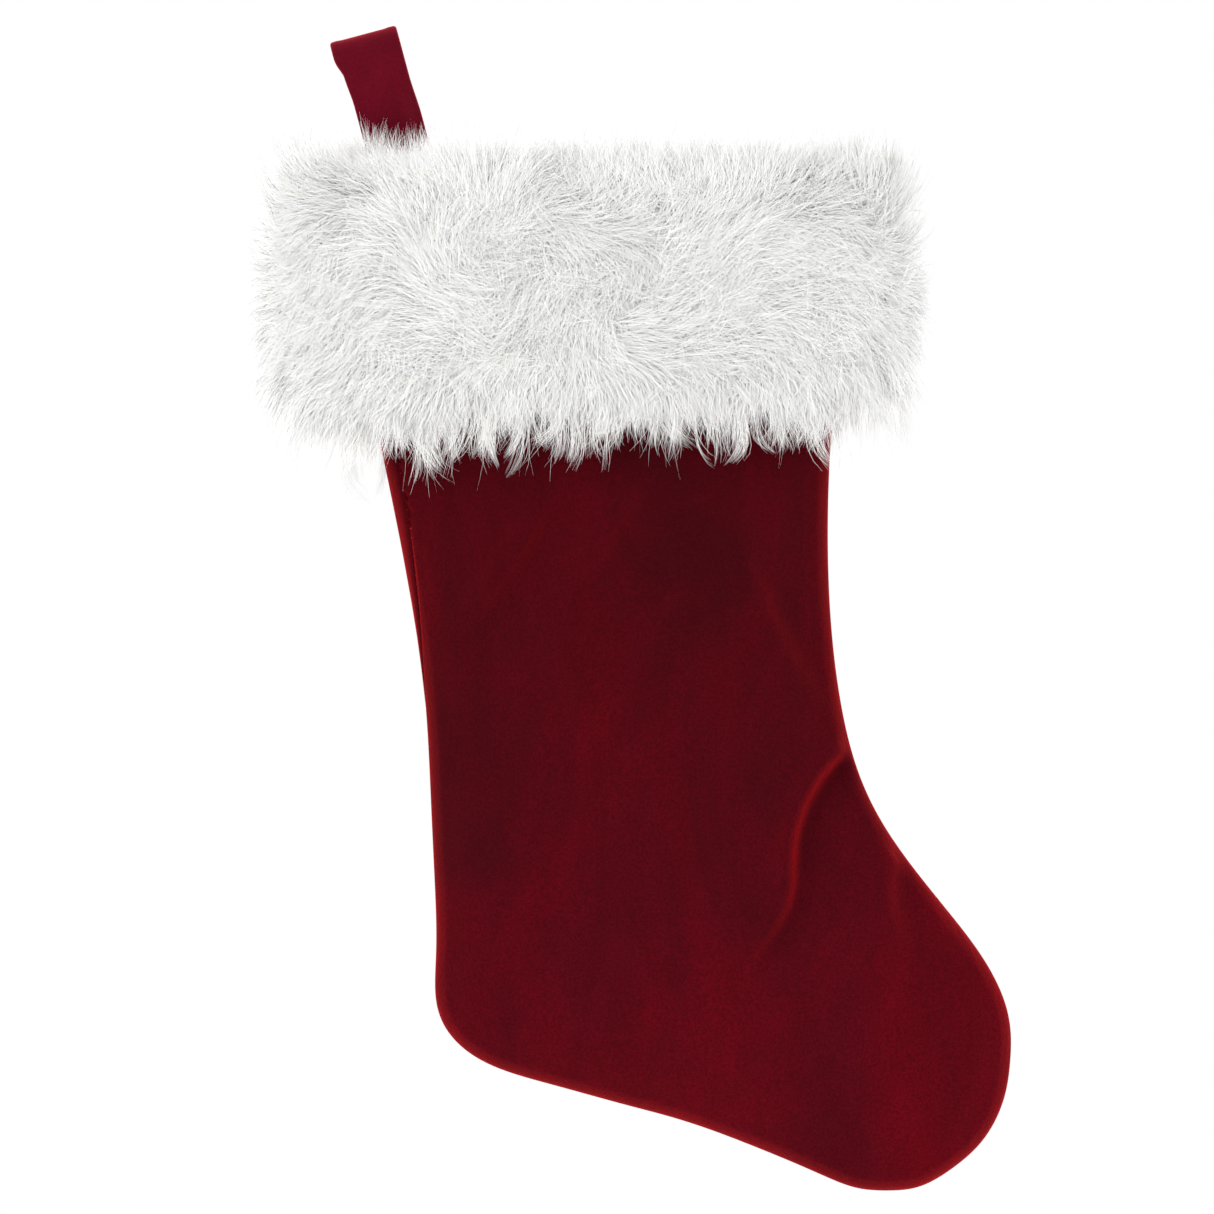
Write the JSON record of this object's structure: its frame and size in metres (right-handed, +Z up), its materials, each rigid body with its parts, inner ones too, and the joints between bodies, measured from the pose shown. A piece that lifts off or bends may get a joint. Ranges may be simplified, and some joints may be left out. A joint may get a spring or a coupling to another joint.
{
  "type": "hanging stocking",
  "caption": "Red velvet hanging stocking with a deep white faux-fur cuff, satin lining and a folded velvet hanging loop that hinges where it is sewn into the mouth.",
  "frame": {"origin": "the point inside the top fold of the hanging loop where a hook touches it", "axes": "+Z up, +X from the heel side towards the toe, -Y is the side that the front panel faces; the hook passes through the loop along X"},
  "size_m": [0.3274, 0.078, 0.503],
  "materials": {
    "velvet": "short-pile red velvet with a soft sheen",
    "loop_velvet": "short-pile red velvet strip, edges turned in",
    "lining": "smooth red satin",
    "fur": "long-pile white faux fur",
    "facing": "plain white knit",
    "red_thread": "matt spun polyester thread",
    "white_thread": "matt spun polyester thread"
  },
  "bodies": {
    "loop": {"hanging_loop": "loop_velvet", "loop_closing_thread": "red_thread"},
    "stocking": {"shell_front": "velvet", "shell_back": "velvet", "lining_front": "lining", "lining_back": "lining", "cuff_facing_front": "facing", "cuff_facing_back": "facing", "cuff_fur_front": "fur", "cuff_fur_back": "fur", "loop_tail": "loop_velvet", "shell_seam_thread": "red_thread", "lining_seam_thread": "red_thread", "mouth_seam_thread": "red_thread", "cuff_seam_thread": "white_thread", "cuff_hem_thread": "white_thread", "loop_bartack_thread": "red_thread"}
  },
  "joints": [
    {"name": "loop_fold", "type": "hinge", "parent": "loop", "child": "stocking", "pos_m": [0.0161, 0, -0.06], "axis": [1, 0, 0], "range_deg": [-80, 80]}
  ]
}
